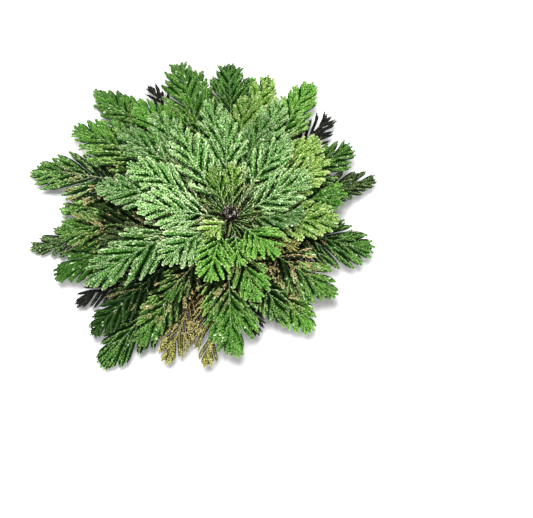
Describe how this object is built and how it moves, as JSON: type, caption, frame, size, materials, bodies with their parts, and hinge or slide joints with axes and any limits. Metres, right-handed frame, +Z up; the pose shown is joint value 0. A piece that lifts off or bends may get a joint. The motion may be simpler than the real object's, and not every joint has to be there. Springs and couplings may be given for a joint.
{
  "type": "rose of jericho",
  "caption": "Open green rose of Jericho: a flat rosette of forked, fern-like fronds on a short woody crown with splayed roots, resting on a small flat spot.",
  "frame": {"origin": "middle of the flat spot under the woody crown, on the surface that the plant rests on", "axes": "+Z up, square to the resting face; +Y towards the back of the rosette, +X to its right, as the plant is looked at"},
  "size_m": [0.162, 0.1572, 0.0407],
  "materials": {
    "rootstock_wood": "matte",
    "frond_green": "matte",
    "frond_dark": "matte",
    "frond_pale": "matte",
    "frond_lime": "matte",
    "frond_olive": "matte",
    "frond_straw": "matte",
    "frond_black": "matte"
  },
  "bodies": {
    "root": {"rootstock": "rootstock_wood", "outer_01": "frond_olive", "outer_02": "frond_dark", "outer_03": "frond_black", "outer_04": "frond_green", "outer_05": "frond_lime", "outer_06": "frond_green", "outer_07": "frond_dark", "outer_08": "frond_green", "outer_09": "frond_black", "outer_10": "frond_green", "outer_11": "frond_green", "outer_12": "frond_green", "outer_13": "frond_dark", "outer_14": "frond_green", "outer_15": "frond_green", "outer_16": "frond_olive", "outer_17": "frond_green", "outer_18": "frond_black", "outer_19": "frond_dark", "outer_20": "frond_dark", "outer_21": "frond_green", "outer_22": "frond_straw", "outer_23": "frond_straw", "outer_24": "frond_green", "outer_25": "frond_black", "outer_26": "frond_dark", "outer_27": "frond_green", "outer_28": "frond_green", "outer_29": "frond_dark", "middle_01": "frond_green", "middle_02": "frond_lime", "middle_03": "frond_lime", "middle_04": "frond_pale", "middle_05": "frond_lime", "middle_06": "frond_pale", "middle_07": "frond_pale", "middle_08": "frond_pale", "middle_09": "frond_pale", "middle_10": "frond_pale", "middle_11": "frond_olive", "middle_12": "frond_pale", "middle_13": "frond_green", "middle_14": "frond_green", "middle_15": "frond_straw", "middle_16": "frond_lime", "inner_01": "frond_pale", "inner_02": "frond_pale", "inner_03": "frond_pale", "inner_04": "frond_pale", "inner_05": "frond_pale", "inner_06": "frond_pale", "inner_07": "frond_pale", "inner_08": "frond_green", "inner_09": "frond_green", "inner_10": "frond_green", "inner_11": "frond_pale", "young_01": "frond_lime", "young_02": "frond_lime", "young_03": "frond_lime"}
  },
  "joints": []
}
